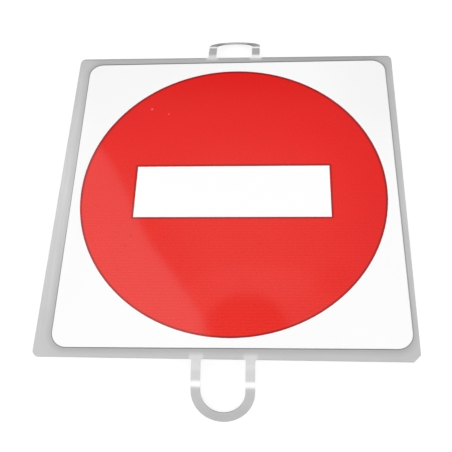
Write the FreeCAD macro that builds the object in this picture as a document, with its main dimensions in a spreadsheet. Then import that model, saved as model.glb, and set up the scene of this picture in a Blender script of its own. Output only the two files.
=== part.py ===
import FreeCAD, Part
import math
import os
import Sketcher
from FreeCAD import Placement, Rotation, Vector

# A square no entry panel that hooks on a pole. The board and its two loops are one sheet of thin
# plastic, cut out flat and folded. A white sheet is stuck on the board, and a red film on that.
# The panel lies face up on its loops, with its top towards +Y. The origin is on the surface that
# it lies on, under the middle of the board. Lengths are in millimetres and angles in degrees.

sizes = {
    "boardWidth": 300,  # the square board, without its loops
    "boardHeight": 300,
    "boardThickness": 1,  # the loops are cut from the same sheet
    "boardCorner": 5,  # rounding of three of its corners
    "cutCorner": 5.5,  # the lower right one is cut straight across
    "loopWidth": 49.5,  # over both legs, and the diameter of the rounded end
    "loopStrip": 7.5,  # width of the strip that each loop is cut to
    "rootFillet": 1,  # in the corners where a leg leaves the board
    "rootFlat": 2,  # from the end of that fillet to the first fold
    "rootRadius": 8,  # first fold, measured in the middle of the sheet
    "rootBend": 20,
    "legLength": 10.5,  # flat stretch between the folds
    "creaseRadius": 15,  # second fold
    "creaseBend": 19.5,
    "tipFlat": 3.5,  # from the second fold to where the end starts to round
    "sheetBorderX": 9,  # bare board left and right of the white face sheet
    "sheetBorderY": 8,  # and above and below it
    "sheetThickness": 0.3,
    "sheetCorner": 12.5,
    "sheetShiftX": 3.2,  # it is stuck on a little off the middle, and turned
    "sheetShiftY": 0.9,
    "sheetTurn": 0.5,
    "discBorder": 8,  # white outside the red film, across the narrower way of the sheet
    "discThickness": 0.1,
    "discShiftX": -0.5,  # from the middle of the face sheet
    "discShiftY": -1.3,
    "discTurn": -0.2,
    "barBorder": 48.5,  # red beside the window in it, where the white sheet shows as the bar
    "barHeight": 51,
}

# Which point of a line or arc a sketch constraint holds
start, end, centre = 1, 2, 3
# The sketch's own origin point and horizontal axis
origin = (-1, 1)
acrossAxis = -1
upwards = Vector(0, 0, 1)
closeEnough = 0.001


def makeSizes(doc):
    sheet = doc.addObject("Spreadsheet::Sheet", "Sizes")
    for row, (name, size) in enumerate(sizes.items(), 1):
        sheet.set(f"A{row}", name)
        sheet.set(f"B{row}", str(size))
        sheet.setAlias(f"B{row}", name)
    doc.recompute()


def originPlane(body, role):
    return next(plane for plane in body.Origin.OriginFeatures if plane.Role == role)


def addSketch(body, name, role):
    sketch = body.newObject("Sketcher::SketchObject", name)
    sketch.AttachmentSupport = [(originPlane(body, role), "")]
    sketch.MapMode = "FlatFace"
    return sketch


def constrain(sketch, *terms):
    return sketch.addConstraint(Sketcher.Constraint(*terms))


def addSize(sketch, name, expression, *terms):
    # Each dimension starts at the value the lines were drawn with, and then follows the sizes
    index = constrain(sketch, *terms)
    sketch.renameConstraint(index, name)
    sketch.setExpression("Constraints." + name, expression)


def addMeasure(sketch, name, *terms):
    # A driven dimension only reads the sketch, for other features to use
    index = constrain(sketch, *terms)
    sketch.setDriving(index, False)
    sketch.renameConstraint(index, name)


def drawLine(sketch, first, last):
    return sketch.addGeometry(Part.LineSegment(first, last))


def drawArc(sketch, middle, radius, fromAngle, toAngle):
    circle = Part.Circle(middle, upwards, radius)
    arc = Part.ArcOfCircle(circle, math.radians(fromAngle), math.radians(toAngle))
    return sketch.addGeometry(arc)


def drawRectangle(sketch, left, low, right, high):
    # The sides run round from the lower left corner, so the first is the lower one
    corners = [Vector(left, low), Vector(right, low), Vector(right, high), Vector(left, high)]
    sides = [drawLine(sketch, corners[i], corners[(i + 1) % 4]) for i in range(4)]
    for i, side in enumerate(sides):
        constrain(sketch, "Coincident", side, end, sides[(i + 1) % 4], start)
        constrain(sketch, "Vertical" if i % 2 else "Horizontal", side)
    return sides


def drawCentredRectangle(sketch, name, across, upright):
    (width, widthFrom), (height, heightFrom) = across, upright
    x, y = width / 2, height / 2
    bottom, right, top = drawRectangle(sketch, -x, -y, x, y)[:3]
    constrain(sketch, "Symmetric", bottom, start, top, start, *origin)
    addSize(sketch, name + "Width", widthFrom, "Distance", bottom, width)
    addSize(sketch, name + "Height", heightFrom, "Distance", right, height)


def lessBorder(size, border):
    # What is left between borders at both ends: the number to draw with, and what it follows
    return sizes[size] - 2 * sizes[border], f"Sizes.{size} - 2 * Sizes.{border}"


def drawRoundedRectangle(sketch, across, upright, corner):
    # Four corner arcs, each joined to the next by a straight side, round the sketch's origin
    (width, widthFrom), (height, heightFrom) = across, upright
    x, y = width / 2 - sizes[corner], height / 2 - sizes[corner]
    middles = [Vector(x, -y), Vector(x, y), Vector(-x, y), Vector(-x, -y)]
    arcs = [drawArc(sketch, middles[i], sizes[corner], 90 * i - 90, 90 * i) for i in range(4)]
    sides = []
    for i, arc in enumerate(arcs):
        following = arcs[(i + 1) % 4]
        side = drawLine(sketch, sketch.getPoint(arc, end), sketch.getPoint(following, start))
        constrain(sketch, "Tangent", arc, end, side, start)
        constrain(sketch, "Tangent", side, end, following, start)
        constrain(sketch, "Horizontal" if i % 2 else "Vertical", side)
        sides.append(side)
    for arc in arcs[1:]:
        constrain(sketch, "Equal", arcs[0], arc)
    right, top, left, bottom = sides
    constrain(sketch, "Symmetric", top, start, bottom, start, *origin)
    addSize(sketch, "corner", "Sizes." + corner, "Radius", arcs[0], sizes[corner])
    addSize(sketch, "width", widthFrom, "DistanceX", left, start, right, start, width)
    addSize(sketch, "height", heightFrom, "DistanceY", bottom, start, top, start, height)


def padSketch(body, name, sketch, thickness):
    pad = body.newObject("PartDesign::Pad", name)
    pad.Profile = sketch
    pad.setExpression("Length", "Sizes." + thickness)
    return pad


def drawLegPath(sketch):
    # Middle of a leg seen from the side: flat at the board, two folds down, and the flat tip
    edge, middle = sizes["boardHeight"] / 2, sizes["boardThickness"] / 2
    rootLength = sizes["rootFillet"] + sizes["rootFlat"]
    at, turned = Vector(edge, middle), 0

    def drawFlat(length):
        nonlocal at
        slope = math.radians(turned)
        first, at = at, at + Vector(math.cos(slope), -math.sin(slope)) * length
        return drawLine(sketch, first, at)

    def drawFold(radius, bend):
        nonlocal at, turned
        slope = math.radians(turned)
        pivot = at - Vector(math.sin(slope), math.cos(slope)) * radius
        fold = drawArc(sketch, pivot, radius, 90 - turned - bend, 90 - turned)
        at, turned = sketch.getPoint(fold, start), turned + bend
        return fold

    root = drawFlat(rootLength)
    rootFold = drawFold(sizes["rootRadius"], sizes["rootBend"])
    leg = drawFlat(sizes["legLength"])
    crease = drawFold(sizes["creaseRadius"], sizes["creaseBend"])
    tip = drawFlat(sizes["tipFlat"])
    # The folds turn clockwise, so each arc starts at its far end
    for flat, fold, following in [(root, rootFold, leg), (leg, crease, tip)]:
        constrain(sketch, "Tangent", flat, end, fold, end)
        constrain(sketch, "Tangent", fold, start, following, start)
    constrain(sketch, "Horizontal", root)
    addSize(sketch, "edge", "Sizes.boardHeight / 2", "DistanceX", *origin, root, start, edge)
    addSize(sketch, "middle", "Sizes.boardThickness / 2", "DistanceY", *origin, root, start, middle)
    addSize(sketch, "rootLength", "Sizes.rootFillet + Sizes.rootFlat", "Distance", root, rootLength)
    for name, flat in (("legLength", leg), ("tipFlat", tip)):
        addSize(sketch, name, "Sizes." + name, "Distance", flat, sizes[name])
    for name, fold in (("rootRadius", rootFold), ("creaseRadius", crease)):
        addSize(sketch, name, "Sizes." + name, "Radius", fold, sizes[name])
    for name, fold in (("rootBend", rootFold), ("creaseBend", crease)):
        addSize(sketch, name, f"Sizes.{name} * 1 deg", "Angle", fold, math.radians(sizes[name]))
    addMeasure(sketch, "tipReach", "DistanceX", *origin, tip, end, at.x)
    addMeasure(sketch, "tipDrop", "DistanceY", tip, end, *origin, -at.y)


def drawLegSection(sketch):
    outside, strip, thickness = sizes["loopWidth"] / 2, sizes["loopStrip"], sizes["boardThickness"]
    bottom, right = drawRectangle(sketch, outside - strip, 0, outside, thickness)[:2]
    constrain(sketch, "PointOnObject", bottom, start, acrossAxis)
    addSize(sketch, "outside", "Sizes.loopWidth / 2", "DistanceX", *origin, bottom, end, outside)
    addSize(sketch, "strip", "Sizes.loopStrip", "Distance", bottom, strip)
    addSize(sketch, "thickness", "Sizes.boardThickness", "Distance", right, thickness)


def drawLoopEnd(sketch):
    # Half a ring, flat in the plane of the folded tip
    outer, inner = sizes["loopWidth"] / 2, sizes["loopWidth"] / 2 - sizes["loopStrip"]
    outside = drawArc(sketch, Vector(0, 0), outer, 0, 180)
    inside = drawArc(sketch, Vector(0, 0), inner, 0, 180)
    right = drawLine(sketch, Vector(inner, 0), Vector(outer, 0))
    left = drawLine(sketch, Vector(-outer, 0), Vector(-inner, 0))
    for arc in (outside, inside):
        constrain(sketch, "Coincident", arc, centre, *origin)
    constrain(sketch, "Coincident", right, end, outside, start)
    constrain(sketch, "Coincident", outside, end, left, start)
    constrain(sketch, "Coincident", left, end, inside, end)
    constrain(sketch, "Coincident", inside, start, right, start)
    for point in (start, end):
        constrain(sketch, "PointOnObject", outside, point, acrossAxis)
    for cut in (right, left):
        constrain(sketch, "Horizontal", cut)
    addSize(sketch, "width", "Sizes.loopWidth", "Diameter", outside, 2 * outer)
    addSize(sketch, "strip", "Sizes.loopStrip", "Distance", right, outer - inner)


def isAt(place, *wanted):
    return any(abs(place - one) < closeEnough for one in wanted)


def uprightEdges(shape, isWanted):
    # Names of the upright edges whose foot is at a wanted place
    names = []
    for i, line in enumerate(shape.Edges, 1):
        foot, head = line.Vertexes[0].Point, line.Vertexes[-1].Point
        if isAt(foot.x, head.x) and isAt(foot.y, head.y) and isWanted(foot):
            names.append(f"Edge{i}")
    return names


def shapeCorners(body, board):
    # The lower right corner is cut first, so the sharp ones left over are those to round
    x, y = sizes["boardWidth"] / 2, sizes["boardHeight"] / 2

    def isCorner(foot):
        return isAt(abs(foot.x), x) and isAt(abs(foot.y), y)

    def isLowerRight(foot):
        return isAt(foot.x, x) and isAt(foot.y, -y)

    cut = body.newObject("PartDesign::Chamfer", "CutCorner")
    cut.Base = (board, uprightEdges(board.Shape, isLowerRight))
    cut.setExpression("Size", "Sizes.cutCorner")
    body.Document.recompute()
    rounded = body.newObject("PartDesign::Fillet", "RoundedCorners")
    rounded.Base = (cut, uprightEdges(cut.Shape, isCorner))
    rounded.setExpression("Radius", "Sizes.boardCorner")


def filletLegRoots(body, base):
    # Where both sides of each leg leave the board's edge
    edge = sizes["boardHeight"] / 2
    outer, inner = sizes["loopWidth"] / 2, sizes["loopWidth"] / 2 - sizes["loopStrip"]

    def isLegRoot(foot):
        return isAt(abs(foot.x), outer, inner) and isAt(abs(foot.y), edge)

    fillet = body.newObject("PartDesign::Fillet", "RootFillets")
    fillet.Base = (base, uprightEdges(base.Shape, isLegRoot))
    fillet.setExpression("Radius", "Sizes.rootFillet")
    return fillet


def makeBackingBoard(doc):
    body = doc.addObject("PartDesign::Body", "backing_board")
    outline = addSketch(body, "BoardOutline", "XY_Plane")
    across = sizes["boardWidth"], "Sizes.boardWidth"
    upright = sizes["boardHeight"], "Sizes.boardHeight"
    drawCentredRectangle(outline, "board", across, upright)
    board = padSketch(body, "Board", outline, "boardThickness")
    doc.recompute()
    shapeCorners(body, board)

    path = addSketch(body, "LegPath", "YZ_Plane")
    drawLegPath(path)
    section = addSketch(body, "LegSection", "XZ_Plane")
    drawLegSection(section)
    # That plane faces -Y, so the board's top edge is at a negative offset
    section.setExpression("AttachmentOffset.Base.z", "-Sizes.boardHeight / 2")
    doc.recompute()
    leg = body.newObject("PartDesign::AdditivePipe", "Leg")
    leg.Profile = section
    leg.Spine = path

    loopEnd = addSketch(body, "LoopEnd", "XY_Plane")
    drawLoopEnd(loopEnd)
    # Tipped about X by both folds, at the place where the leg's path ends
    loopEnd.AttachmentOffset = Placement(Vector(), Rotation(Vector(-1, 0, 0), 1))
    loopEnd.setExpression("AttachmentOffset.Rotation.Angle", "Sizes.rootBend + Sizes.creaseBend")
    loopEnd.setExpression("AttachmentOffset.Base.y", "LegPath.Constraints.tipReach")
    loopEnd.setExpression("AttachmentOffset.Base.z", "-LegPath.Constraints.tipDrop")
    bow = padSketch(body, "LoopBow", loopEnd, "boardThickness")
    bow.SideType = "Symmetric"
    doc.recompute()

    # One leg and one rounded end become two whole loops, mirrored side to side and end to end
    loops = body.newObject("PartDesign::MultiTransform", "Loops")
    loops.Originals = [leg, bow]
    sideToSide = body.newObject("PartDesign::Mirrored", "SideToSide")
    sideToSide.MirrorPlane = (originPlane(body, "YZ_Plane"), [""])
    endToEnd = body.newObject("PartDesign::Mirrored", "EndToEnd")
    endToEnd.MirrorPlane = (originPlane(body, "XZ_Plane"), [""])
    loops.Transformations = [sideToSide, endToEnd]
    body.Tip = loops
    doc.recompute()
    body.Tip = filletLegRoots(body, loops)

    # The loops' tips stand on the surface, which lifts the board by as much as they drop
    body.setExpression(
        "Placement.Base.z",
        "LegPath.Constraints.tipDrop"
        " + Sizes.loopWidth / 2 * sin(Sizes.rootBend + Sizes.creaseBend) * 1 mm"
        " + Sizes.boardThickness / 2 * cos(Sizes.rootBend + Sizes.creaseBend) * 1 mm",
    )
    return body


def layOn(body, carrier, thickness, shiftX, shiftY, turn):
    # Laid on the top face of its carrier, shifted on it and turned about the upright axis
    body.Placement = Placement(Vector(), Rotation(upwards, 1))
    body.setExpression("Placement.Base.x", f"{carrier}.Placement.Base.x + Sizes.{shiftX} * 1 mm")
    body.setExpression("Placement.Base.y", f"{carrier}.Placement.Base.y + Sizes.{shiftY} * 1 mm")
    body.setExpression("Placement.Base.z", f"{carrier}.Placement.Base.z + Sizes.{thickness} * 1 mm")
    body.setExpression("Placement.Rotation.Angle", turn)


def makeFaceSheet(doc):
    body = doc.addObject("PartDesign::Body", "face_sheet")
    outline = addSketch(body, "SheetOutline", "XY_Plane")
    across = lessBorder("boardWidth", "sheetBorderX")
    upright = lessBorder("boardHeight", "sheetBorderY")
    drawRoundedRectangle(outline, across, upright, "sheetCorner")
    padSketch(body, "Sheet", outline, "sheetThickness")
    layOn(body, "backing_board", "boardThickness", "sheetShiftX", "sheetShiftY", "Sizes.sheetTurn")
    return body


def makeRedDisc(doc):
    body = doc.addObject("PartDesign::Body", "red_disc")
    outline = addSketch(body, "DiscOutline", "XY_Plane")
    sheet = doc.getObject("SheetOutline")
    narrower = min(sheet.getDatum("width").Value, sheet.getDatum("height").Value)
    diameter = narrower - 2 * sizes["discBorder"]
    barWidth, barHeight = diameter - 2 * sizes["barBorder"], sizes["barHeight"]
    disc = outline.addGeometry(Part.Circle(Vector(0, 0), upwards, diameter / 2))
    constrain(outline, "Coincident", disc, centre, *origin)
    narrowerFrom = "min(SheetOutline.Constraints.width; SheetOutline.Constraints.height)"
    diameterFrom = narrowerFrom + " - 2 mm * Sizes.discBorder"
    addSize(outline, "diameter", diameterFrom, "Diameter", disc, diameter)
    across = barWidth, "Constraints.diameter - 2 mm * Sizes.barBorder"
    drawCentredRectangle(outline, "bar", across, (barHeight, "Sizes.barHeight"))
    padSketch(body, "Disc", outline, "discThickness")
    turn = "Sizes.sheetTurn + Sizes.discTurn"
    layOn(body, "face_sheet", "sheetThickness", "discShiftX", "discShiftY", turn)
    return body


def check(doc, bodies):
    for item in doc.Objects:
        if "Invalid" in item.State or "Error" in item.State:
            raise RuntimeError(f"{item.Name} did not build: {item.State}")
    for body in bodies:
        shape = body.Shape
        if shape.isNull() or not shape.isValid() or len(shape.Solids) != 1:
            raise RuntimeError(f"{body.Label} is not one valid solid")


def describe(body):
    box = body.Shape.BoundBox
    low = f"{box.XMin:.2f} {box.YMin:.2f} {box.ZMin:.2f}"
    high = f"{box.XMax:.2f} {box.YMax:.2f} {box.ZMax:.2f}"
    print(f"{body.Label}: from {low} to {high}, volume {body.Shape.Volume:.1f}")


doc = FreeCAD.newDocument("NoEntryPanel")
makeSizes(doc)
pieces = [makeBackingBoard(doc), makeFaceSheet(doc), makeRedDisc(doc)]
doc.recompute()
check(doc, pieces)
os.makedirs("parts", exist_ok=True)
for piece in pieces:
    describe(piece)
    piece.Shape.exportStep(f"parts/{piece.Label}.step")
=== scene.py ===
import functools
import math

import bmesh
import bpy
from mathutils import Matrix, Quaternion, Vector


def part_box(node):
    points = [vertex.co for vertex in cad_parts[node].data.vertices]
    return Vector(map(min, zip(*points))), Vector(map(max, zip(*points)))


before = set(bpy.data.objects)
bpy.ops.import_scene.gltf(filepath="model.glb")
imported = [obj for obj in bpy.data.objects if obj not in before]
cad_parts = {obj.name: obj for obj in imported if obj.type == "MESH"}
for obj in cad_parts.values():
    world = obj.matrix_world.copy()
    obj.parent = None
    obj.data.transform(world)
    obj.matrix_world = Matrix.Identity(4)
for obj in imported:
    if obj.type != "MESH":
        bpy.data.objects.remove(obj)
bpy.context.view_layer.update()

mm = 0.001
sheetLow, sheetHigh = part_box("face_sheet")
discLow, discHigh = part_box("red_disc")
face = discHigh.z  # height of the red film's top above the floor
print("frame loaded, the face is", round(face / mm, 2), "mm up")


class Shade:
    # A node's output, so that shader maths reads as plain sums
    def __init__(self, tree, made=None, output=0):
        self.tree = tree
        self.made = made
        self.socket = made.outputs[output] if made and made.outputs else None

    def node(self, kind, settings=None, sockets=None, output=0):
        made = self.tree.nodes.new(kind)
        for name, value in (settings or {}).items():
            setattr(made, name, value)
        for name, value in (sockets or {}).items():
            if isinstance(value, Shade):
                self.tree.links.new(value.socket, made.inputs[name])
            else:
                made.inputs[name].default_value = value
        return Shade(self.tree, made, output)

    def output(self, name):
        return Shade(self.tree, self.made, name)

    def maths(self, operation, first, second=0.0):
        return self.node("ShaderNodeMath", {"operation": operation}, {0: first, 1: second})

    def __add__(self, other):
        return self.maths("ADD", self, other)

    def __radd__(self, other):
        return self.maths("ADD", other, self)

    def __sub__(self, other):
        return self.maths("SUBTRACT", self, other)

    def __rsub__(self, other):
        return self.maths("SUBTRACT", other, self)

    def __mul__(self, other):
        return self.maths("MULTIPLY", self, other)

    def __rmul__(self, other):
        return self.maths("MULTIPLY", other, self)

    def __truediv__(self, other):
        return self.maths("DIVIDE", self, other)

    def __rtruediv__(self, other):
        return self.maths("DIVIDE", other, self)

    def __neg__(self):
        return self.maths("MULTIPLY", self, -1.0)

    def __abs__(self):
        return self.maths("ABSOLUTE", self)

    def least(self, other):
        return self.maths("MINIMUM", self, other)

    def most(self, other):
        return self.maths("MAXIMUM", self, other)

    def root(self):
        return self.maths("SQRT", self)

    def wave(self, length):
        # From -1 to 1 and back over this length
        return self.maths("SINE", self * (2 * math.pi / length))

    def fade(self, start, end, full=1.0):
        # A soft step from 0 at the start to full at the end
        limits = {"Value": self, "From Min": start, "From Max": end, "To Max": full}
        return self.node("ShaderNodeMapRange", {"interpolation_type": "SMOOTHSTEP"}, limits)

    def band(self, middle, halfWidth, soft, full=1.0):
        # Full within halfWidth of the middle, fading out over soft
        return abs(self - middle).fade(halfWidth + soft, halfWidth, full)


def between(share, first, second):
    # The first where the share is 0 and the second where it is 1
    return share * (second - first) + first


def newMaterial(name):
    material = bpy.data.materials.new(name)
    material.use_nodes = True
    material.node_tree.nodes.clear()
    return material, Shade(material.node_tree)


def grey(level):
    return (level, level, level)


def mixColours(share, first, second):
    # Each colour is three numbers or another mix
    def full(colour):
        return colour if isinstance(colour, Shade) else (*colour, 1)

    sockets = {0: share, 6: full(first), 7: full(second)}
    return share.node("ShaderNodeMix", {"data_type": "RGBA"}, sockets, output=2)


def vectorMaths(operation, first, second):
    settings, sockets = {"operation": operation}, {0: first, 1: second}
    return first.node("ShaderNodeVectorMath", settings, sockets)


def parts(place):
    split = place.node("ShaderNodeSeparateXYZ", {}, {0: place})
    return split.output("X"), split.output("Y"), split.output("Z")


def piecePlace(shade, low, high, turn=0.0):
    # Where a point is on a flat piece, in mm from its middle along its own sides
    middle = (low + high) / 2
    point = shade.node("ShaderNodeTexCoord", output="Object")
    sockets = {"Vector": point, "Center": middle, "Angle": -math.radians(turn)}
    turned = shade.node("ShaderNodeVectorRotate", {"rotation_type": "Z_AXIS"}, sockets)
    fromMiddle = vectorMaths("SUBTRACT", turned, tuple(middle))
    return vectorMaths("DIVIDE", fromMiddle, (mm, mm, mm))


def patches(place, size, low=0.0, high=1.0, detail=2.0):
    # Soft patches of about this size in mm, from low to high
    sockets = {"Vector": place, "Scale": 1 / size, "Detail": detail}
    return between(place.node("ShaderNodeTexNoise", {}, sockets), low, high)


def bump(height, depth, under=None):
    sockets = {"Height": height, "Distance": depth * mm}
    if under:
        sockets["Normal"] = under
    return height.node("ShaderNodeBump", {}, sockets)


def boxDistance(x, y, size, corner=0.0):
    # How far a point is outside a rounded rectangle, less than 0 inside it
    across = abs(x) - (size[0] / 2 - corner)
    upright = abs(y) - (size[1] / 2 - corner)
    reachX, reachY = across.most(0.0), upright.most(0.0)
    outside = (reachX * reachX + reachY * reachY).root()
    return outside + across.most(upright).least(0.0) - corner


def finishSurface(shade, sockets):
    shader = shade.node("ShaderNodeBsdfPrincipled", {}, sockets)
    shade.node("ShaderNodeOutputMaterial", {}, {"Surface": shader})


def glossySheet(shade, place, colour, look):
    # A fine grain over slow waves
    waveSize, waveDepth = look["waves"]
    grainSize, grainDepth = look["grain"]
    waves = bump(patches(place, waveSize, detail=1.0), waveDepth)
    finishSurface(shade, {
        "Base Color": colour,
        "Roughness": patches(place, *look["roughness"], detail=3.0),
        "Normal": bump(patches(place, grainSize), grainDepth, waves),
    })


def dress(nodeName, material):
    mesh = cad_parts[nodeName].data
    mesh.materials.clear()
    mesh.materials.append(material)


# In each finish below, sizes are in mm. Of two places, a fade starts at the first and is done at
# the second. A number after them says how strong it gets, from 0 to 1.

# Red film, cut with a window for the bar

redFilm = {
    "turn": 0.3,  # degrees, as it was stuck on
    "radius": 133,
    "bar": (169, 51),
    "red": (0.873, 0.0060, 0.0026),
    "warmReflection": (0.873, 0.0148, 0.0030),  # painted warm reflection, in the lower part and on the left
    "warmLow": (70, 0),
    "warmLeft": (120, 60),
    # a duller tone in real clouds, mottle and print bands, and painted shade at the top and along
    # the top and right rims
    "dullerAndShaded": (0.725, 0.0042, 0.0016),
    "clouds": (45, 0.0, 0.4),  # size, and how dull from least to most
    "mottle": (1.6, -0.5, 1.0),
    "bandPitch": 2.7,  # faint print bands over the lower half
    "bands": (30, -60, 0.15),
    # painted shade: darker towards the top, and along the top and right rims
    "shadedTop": (20, 130, 0.3),
    "shadedTopRim": (70, 130, 0.15),
    "shadedRightRim": (70, 125, 0.2),
    "cutEdge": (0.23, 0.009, 0.012),  # darker line just inside the cut
    "cutLine": (0.3, 0.7, 1.1, 2.6),  # starts, is full, is still full, is gone
    "cutFiner": (1.15, 0.8),  # the line is finer at the bottom, and broader at the top
    "cutSpan": (-110, 110),
    "barLine": 0.87,  # how strong the line is round the bar
    "dust": [(-76.9, 89.0, 0.85), (-60.9, 83.2, 0.6)],  # pale specks: x, y, radius
    "pits": [(24.7, -50.8, 0.8), (-84.8, -43.1, 1.0), (-88.4, -52.5, 0.9)],
    "dustColour": (0.98, 0.13, 0.12),
    "pitColour": (0.66, 0.004, 0.002),
    "speckSoft": (1.6, 0.6),  # where a speck is gone and where it is full, over its radius
    "roughness": (25, 0.045, 0.065),
    "waves": (70, 0.05),  # size and depth
    "grain": (0.9, 0.002),
}


def cutLine(look, inward, y):
    # How much of the dark line shows this far in from a cut
    starts, full, stillFull, gone = look["cutLine"]
    inward = inward * between(y.fade(*look["cutSpan"]), *look["cutFiner"])
    return inward.fade(starts, full) * inward.fade(gone, stillFull)


def speck(place, x, y, radius, look):
    away = vectorMaths("DISTANCE", place, (x, y, 0)).output("Value")
    gone, full = look["speckSoft"]
    return away.fade(radius * gone, radius * full)


def makeRedFilm(look):
    material, shade = newMaterial("red_film")
    place = piecePlace(shade, discLow, discHigh, look["turn"])
    x, y, _ = parts(place)
    dull = patches(place, *look["clouds"], detail=3.0) + patches(place, *look["mottle"])
    # print bands, then painted shade towards the top and along the top and right rims
    dull = dull + y.wave(look["bandPitch"]) * y.fade(*look["bands"]) + y.fade(*look["shadedTop"])
    dull = dull + y.fade(*look["shadedTopRim"]).most(x.fade(*look["shadedRightRim"]))
    # painted warm reflection, lower down and on the left
    warm = y.fade(*look["warmLow"]) * x.fade(*look["warmLeft"])
    fromRim = look["radius"] - (x * x + y * y).root()
    fromBar = boxDistance(x, y, look["bar"])
    cut = cutLine(look, fromRim, y).most(cutLine(look, fromBar, y) * look["barLine"])

    colour = mixColours(warm, look["red"], look["warmReflection"])
    colour = mixColours(dull, colour, look["dullerAndShaded"])
    colour = mixColours(cut, colour, look["cutEdge"])
    for specks, tint in (("dust", "dustColour"), ("pits", "pitColour")):
        for spot in look[specks]:
            colour = mixColours(speck(place, *spot, look), colour, look[tint])
    glossySheet(shade, place, colour, look)
    return material


# White sheet under it

whiteSheet = {
    "size": (282, 284),
    "corner": 12.5,
    "turn": 0.5,
    "white": grey(0.970),
    "greyer": grey(0.915),  # greyer in clouds, on the left and in the top right corner
    "clouds": (60, 0.0, 0.4),
    "greyerLeft": (130, -130, 0.5),
    "greyerRight": (60, 130),
    "greyerTop": (0, 110, 0.8),
    "brightMiddle": grey(0.985),  # in the middle, framed by the film
    "brightMiddleSize": (180, 64),
    "brightMiddleCorner": 5,
    "brightMiddleEdge": (8, 0, 0.9),
    "roughness": (25, 0.16, 0.22),
    "waves": (70, 0.05),
    "grain": (0.9, 0.003),
}


def placeOnSheet(shade, look):
    return piecePlace(shade, sheetLow, sheetHigh, look["turn"])


def makeWhiteSheet(look):
    material, shade = newMaterial("white_film")
    place = placeOnSheet(shade, look)
    x, y, _ = parts(place)
    greyer = patches(place, *look["clouds"], detail=3.0) + x.fade(*look["greyerLeft"])
    greyer = greyer + x.fade(*look["greyerRight"]) * y.fade(*look["greyerTop"])
    fromBrightMiddle = boxDistance(x, y, look["brightMiddleSize"], look["brightMiddleCorner"])

    colour = mixColours(greyer, look["white"], look["greyer"])
    colour = mixColours(fromBrightMiddle.fade(*look["brightMiddleEdge"]), colour, look["brightMiddle"])
    glossySheet(shade, place, colour, look)
    return material


# Frosted board with its loops, which are folded near the board and again past their middle

frostedBoard = {
    "plastic": grey(0.66),
    "clouded": grey(0.495),
    "clouds": (30, 0.0, 0.3),
    "streaks": (1.6, -0.25, 0.25),  # along the white sheet's sides
    "streakAlong": 0.03,  # how fast they change along a side, over how fast across it
    "paintedLight": grey(0.78),  # painted light: paler at the left edge, and a little at the right
    "litLeft": (-100, -148),
    "litLeftMiddle": (0, 10, 140),  # middle, half its length, and how softly it ends
    "litLeftShare": (0.26, 1.01),  # at the corners, and in the middle
    "litRight": (100, 148),
    "litRightMiddle": (-50, 30, 60, 0.3),  # the same, and how pale
    # painted shade: darker along the top, most of all on the right
    "shadedTopLeft": grey(0.52),
    "shadedTopRight": grey(0.42),
    "shadedTop": (120, 150),
    "shadedRight": (-20, 90),
    "shadedInside": (142, 128),  # less painted shade towards the corners
    "shadedShare": (0.3, 0.8),
    "backed": grey(0.80),  # seen from behind, with the white sheet on it
    "backedEdge": (0, -1, 0.9),
    "backDepth": (1, 0.1, 0.2),  # from the face, with some room on either side
    "faceDepth": (-0.4, -0.1),
    "shadedEnds": grey(0.44),  # painted shade on the loops' rounded ends
    "endFades": [(168, 174, 0.6), (178, 190, 0.22)],
    "topEnd": grey(0.53),  # painted shade on the top one again, at its middle and at its shoulders
    "topShoulders": grey(0.05),
    "topEndFade": (169, 172, 0.9),
    "shoulderInside": (8, 17),
    "shoulderOutside": (28, 19),
    "cutEdge": grey(0.30),
    "cutNormal": (0.74, 0.68, 0.6),  # a cut face points less far up than this
    "roughness": (12, 0.30, 0.38),
    "seeThrough": 0.25,
    "ior": 1.49,
    "frost": (0.35, 0.01),

    # Where the plastic went white as it was bent, along the loops, with painted highlights on the
    # creases and painted light on the legs
    "bends": {
        "white": grey(0.99),
        # Middle, half the width, and how softly it ends
        "leg": (21, 4.2, 2.5),
        "topRoot": (151.2, 1.2, 1.4),
        "topCrease": (167.5, 1.0, 1.2),
        "lowCrease": (167.9, 0.7, 2.5),
        "rightSide": (-10, 10),
        "topRootShare": (0.6, 1.0),  # on the left, and on the right
        "topCreaseLean": 0.8,  # how much lower it is on the right
        "lowCreaseLean": 0.3,
        "topCreasePaintedGlow": 0.14,  # painted light: the crease glows, standing in for light that comes through it
        # Stretches of the legs, how each begins and how it ends
        "topLegs": [((145, 150), (157, 151, 0.55)), ((147, 151), (165, 161, 0.12))],
        "lowLegs": [((143.5, 148.5), (163, 151, 0.44)), ((145, 150), (169, 166, 0.07))],
    },

    # The dark line where the white sheet's edge meets the board, and a softer shadow beyond it
    "sheetShadow": {
        "dark": grey(0.15),
        "top": (120, 145),
        "bottom": (-120, -145),
        "left": (-110, -140),
        "right": (120, 145),
        "ends": (40, 90),  # from a side's middle to its ends
        "line": (1.2, 0.5, 0.95),
        "soft": (7.0, 0.5),
        # Each in a side's middle, and at its ends
        "wider": {"top": (0.6, 0.6), "right": (0.3, 0.3)},
        "fainter": {"left": (0.36, 0.16), "right": (0.38, 0.38), "top": (0.1, 0.1)},
        "softer": {
            "bottom": (0.27, 0.27),
            "left": (0.12, 0.20),
            "right": (0.09, 0.15),
            "top": (0.04, 0.04),
        },
        "farRim": (149.0, 0.3, 0.5, 0.3),  # a fine dark line along the top edge
        "farRimEnds": (26, 30),  # it stops at the loop
    },
}


def topCreaseShare(look, x, y):
    lean = x.fade(*look["rightSide"]) * look["topCreaseLean"]
    return (y + lean).band(*look["topCrease"])


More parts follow.
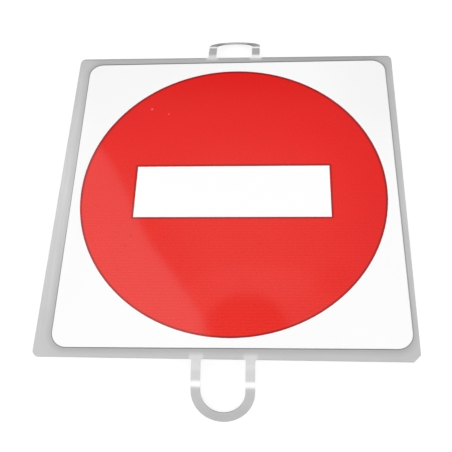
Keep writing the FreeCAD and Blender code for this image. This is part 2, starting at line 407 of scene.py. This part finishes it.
def bentAndLitShare(look, x, y):
    # How white the plastic went, with its painted highlights and painted light, from 0 to 1
    down, right = -y, x.fade(*look["rightSide"])
    onLeg = abs(x).band(*look["leg"])
    lowCrease = (down - right * look["lowCreaseLean"]).band(*look["lowCrease"])
    topRoot = y.band(*look["topRoot"]) * between(right, *look["topRootShare"])
    white = lowCrease.most(topCreaseShare(look, x, y)).most(topRoot * onLeg)
    for outward, stretches in ((y, look["topLegs"]), (down, look["lowLegs"])):
        for rise, fall in stretches:
            white = white.most(outward.fade(*rise) * outward.fade(*fall) * onLeg)
    return white


def shadowShare(look, x, y, fromSheet):
    # How dark the board is beside the white sheet, from 0 to 1
    sides = {
        "top": y.fade(*look["top"]),
        "bottom": y.fade(*look["bottom"]),
        "left": x.fade(*look["left"]),
        "right": x.fade(*look["right"]),
    }
    ends = abs(y).fade(*look["ends"])

    def bySide(name):
        return [sides[side] * between(ends, *shares) for side, shares in look[name].items()]

    def strongest(name):
        return functools.reduce(Shade.most, bySide(name))

    topWider, rightWider = bySide("wider")
    gone, full, strength = look["line"]
    line = (fromSheet - topWider - rightWider).fade(gone, full) * (strength - strongest("fainter"))
    soft = fromSheet.fade(*look["soft"]) * strongest("softer")
    rim = y.band(*look["farRim"]) * abs(x).fade(*look["farRimEnds"])
    return line.most(soft).most(rim)


# Clouds and streaks in the plastic, with painted light at the sides and painted shade along the top
def cloudsAndPaintedLight(look, place, x, y, fromSheet):
    leftMiddle = y.band(*look["litLeftMiddle"])
    # painted light, paler at the left and a little at the right
    pale = x.fade(*look["litLeft"]) * between(leftMiddle, *look["litLeftShare"])
    pale = pale.most(x.fade(*look["litRight"]) * y.band(*look["litRightMiddle"]))
    colour = mixColours(pale, look["plastic"], look["paintedLight"])
    # painted shade along the top
    shadeColour = mixColours(x.fade(*look["shadedRight"]), look["shadedTopLeft"], look["shadedTopRight"])
    dull = y.fade(*look["shadedTop"]) * between(abs(x).fade(*look["shadedInside"]), *look["shadedShare"])
    colour = mixColours(dull, colour, shadeColour)
    along = {0: fromSheet, 1: (x + y) * look["streakAlong"]}
    alongSheet = place.node("ShaderNodeCombineXYZ", {}, along)
    clouds = patches(place, *look["clouds"], detail=3.0) + patches(alongSheet, *look["streaks"])
    return mixColours(clouds, colour, look["clouded"])


# Painted shade on the top loop's end, darkest at its shoulders
def topEndColour(look, x):
    shoulder = abs(x).fade(*look["shoulderInside"]) * abs(x).fade(*look["shoulderOutside"])
    return mixColours(shoulder, look["topEnd"], look["topShoulders"])


def makeFrostedBoard(look, sheet):
    material, shade = newMaterial("frosted_plastic")
    bent, shadow = look["bends"], look["sheetShadow"]
    origin = Vector((0, 0, 0))
    place = piecePlace(shade, origin, origin)
    x, y, z = parts(place)
    sheetX, sheetY, _ = parts(placeOnSheet(shade, sheet))
    fromSheet = boxDistance(sheetX, sheetY, sheet["size"], sheet["corner"])
    aboveFace = z - sheetLow.z / mm
    onFace = aboveFace.fade(*look["faceDepth"])
    onBack = (-aboveFace).band(*look["backDepth"])
    firstEnd, secondEnd = (abs(y).fade(*span) for span in look["endFades"])
    level = abs(parts(shade.node("ShaderNodeTexCoord", output="Normal"))[2])

    colour = cloudsAndPaintedLight(look, place, x, y, fromSheet)
    colour = mixColours(onBack * fromSheet.fade(*look["backedEdge"]), colour, look["backed"])
    # painted shade on the loops' rounded ends
    colour = mixColours(firstEnd + secondEnd, colour, look["shadedEnds"])
    colour = mixColours(bentAndLitShare(bent, x, y), colour, bent["white"])
    dark = shadowShare(shadow, x, y, fromSheet) * onFace
    colour = mixColours(dark, colour, shadow["dark"])
    colour = mixColours(level.fade(*look["cutNormal"]), colour, look["cutEdge"])
    # painted shade on the top loop's end
    colour = mixColours(y.fade(*look["topEndFade"]), colour, topEndColour(look, x))

    frostSize, frostDepth = look["frost"]
    finishSurface(shade, {
        "Base Color": colour,
        "Roughness": patches(place, *look["roughness"], detail=3.0),
        # painted light: the top crease glows
        "Emission Color": topCreaseShare(bent, x, y) * bent["topCreasePaintedGlow"],
        "Emission Strength": 1.0,
        "Transmission Weight": look["seeThrough"],
        "IOR": look["ior"],
        "Normal": bump(patches(place, frostSize), frostDepth),
    })
    return material


dress("red_disc", makeRedFilm(redFilm))
dress("face_sheet", makeWhiteSheet(whiteSheet))
dress("backing_board", makeFrostedBoard(frostedBoard, whiteSheet))
print("finishes made")


# A room that is bright overhead, with a softbox low in front, a window and a few soft shapes.
# Its places are given as x and y over height, because the gloss mirrors what is above it.

room = {
    "light": (0.42, 1.44),  # away from its bright part, and there
    "brightPart": (-0.143, 0.114, 1.0),
    "brightFade": (0.785, 1.106),  # how nearly a direction points there
    "softbox": (0.0, -0.68, 0.73),
    "softboxAngles": (45, 20),  # degrees from its middle to its edge, and to where it is full
    "softboxLight": 2.05,
    "above": (0.1, 0.3),  # the rest is well above the floor
    "leastHeight": 0.05,
    # Soft shapes: middle, half size, share that is soft, and how much lighter
    "shapes": [
        ((-0.038, 0.342), (0.067, 0.070), 0.09, -0.46),
        ((-0.018, 0.428), (0.086, 0.030), 0.25, 0.17),
        ((0.100, 0.432), (0.036, 0.028), 0.40, -0.12),
        ((-0.030, 0.600), (0.120, 0.090), 0.60, 0.11),
    ],
    "far": (0.755, 0.87, 0.20),  # it gets darker further off
    "window": {
        "side": (-0.203, 0.520),  # a place on its long side
        "turn": 31.5,  # degrees that the side leans
        "size": (0.32, 1.0),
        "soft": (0.04, 0.1),  # its far side and its ends, the near side is sharper
        "sharp": 0.004,
        "bow": (0.3, 0.0055, 0.066),  # the side looks wavy in the film: length, height and shift
        "light": 0.70,
        "frame": (0.07, 0.16),  # a darker strip beside it: its width, and how much darker
        "frameMiddle": (0.05, 0.06, 0.03),
    },
}

floorLook = {"size": 8000, "white": 0.24, "glow": 0.84, "roughness": 0.9}


def windowLight(look, x, y):
    sideX, sideY = look["side"]
    turn = math.radians(look["turn"])
    inside = (sideX - x) * math.cos(turn) + (sideY - y) * math.sin(turn)
    along = (x - sideX) * math.sin(turn) - (y - sideY) * math.cos(turn)
    waveLength, waveHeight, shift = look["bow"]
    inside = inside - (along + shift).wave(waveLength) * waveHeight
    width, length = look["size"]
    softSide, softEnd = look["soft"]
    sharp = look["sharp"]
    pane = inside.fade(-sharp, sharp) * inside.fade(width, width - softSide, look["light"])
    pane = pane * abs(along).fade(length / 2, length / 2 - softEnd)
    frameWidth, darker = look["frame"]
    strip = inside.fade(-frameWidth, -sharp) * inside.fade(sharp, -sharp, darker)
    return pane - strip * along.band(*look["frameMiddle"])


def facing(direction, towards):
    towards = tuple(Vector(towards).normalized())
    return vectorMaths("DOT_PRODUCT", direction, towards).output("Value")


def makeRoom(look):
    world = bpy.data.worlds.new("room")
    bpy.context.scene.world = world
    world.use_nodes = True
    world.node_tree.nodes.clear()
    shade = Shade(world.node_tree)
    direction = shade.node("ShaderNodeTexCoord", output="Generated")
    light = between(facing(direction, look["brightPart"]).fade(*look["brightFade"]), *look["light"])
    edge, core = (math.cos(math.radians(angle)) for angle in look["softboxAngles"])
    light = light + facing(direction, look["softbox"]).fade(edge, core, look["softboxLight"])

    x, y, z = parts(direction)
    height = z.most(look["leastHeight"])
    x, y = x / height, y / height
    extra = windowLight(look["window"], x, y) - y.fade(*look["far"])
    for (middleX, middleY), (sizeX, sizeY), soft, lighter in look["shapes"]:
        ovalX, ovalY = (x - middleX) / sizeX, (y - middleY) / sizeY
        away = (ovalX * ovalX + ovalY * ovalY).root()
        extra = extra + away.fade(1 + soft, 1 - soft, lighter)
    light = light + extra * z.fade(*look["above"])

    # What the camera sees behind the part, and through it, is plain white
    rays = shade.node("ShaderNodeLightPath", output="Is Camera Ray")
    seen = rays.most(rays.output("Is Transmission Ray"))
    background = shade.node("ShaderNodeBackground", {}, {"Color": between(seen, light, 1.0)})
    shade.node("ShaderNodeOutputWorld", {}, {"Surface": background})


def makeFloor(look):
    mesh = bpy.data.meshes.new("floor")
    shape = bmesh.new()
    bmesh.ops.create_grid(shape, x_segments=1, y_segments=1, size=look["size"] * mm / 2)
    shape.to_mesh(mesh)
    shape.free()
    floor = bpy.data.objects.new("floor", mesh)
    bpy.context.scene.collection.objects.link(floor)
    material, shade = newMaterial("floor")
    rays = shade.node("ShaderNodeLightPath", output="Is Camera Ray")
    seen = rays.most(rays.output("Is Transmission Ray")).most(rays.output("Is Glossy Ray"))
    finishSurface(shade, {
        "Base Color": (*grey(look["white"]), 1),
        "Roughness": look["roughness"],
        "Specular IOR Level": 0.0,
        "Emission Color": seen * look["glow"],
        "Emission Strength": 1.0,
    })
    mesh.materials.append(material)


makeRoom(room)
makeFloor(floorLook)
print("room made")


# Camera, as the photo was taken

cameraPlace = {
    "from": (36.2, -308.2, 517.5),  # height above the face
    "aim": (-1.6, -34.7, 0.0),
    "roll": -6.76,  # degrees
    "lens": 55.35,
    "sensor": 36.0,
}


def makeCamera(look):
    data = bpy.data.cameras.new("camera")
    data.lens = look["lens"]
    data.sensor_width = look["sensor"]
    camera = bpy.data.objects.new("camera", data)
    bpy.context.scene.collection.objects.link(camera)
    up = Vector((0, 0, face))
    camera.location = Vector(look["from"]) * mm + up
    forward = Vector(look["aim"]) * mm + up - camera.location
    camera.rotation_mode = "QUATERNION"
    roll = Quaternion((0, 0, 1), math.radians(look["roll"]))
    camera.rotation_quaternion = forward.to_track_quat("-Z", "Y") @ roll
    bpy.context.scene.camera = camera


makeCamera(cameraPlace)
bpy.context.scene.view_settings.view_transform = "Standard"
print("camera placed")
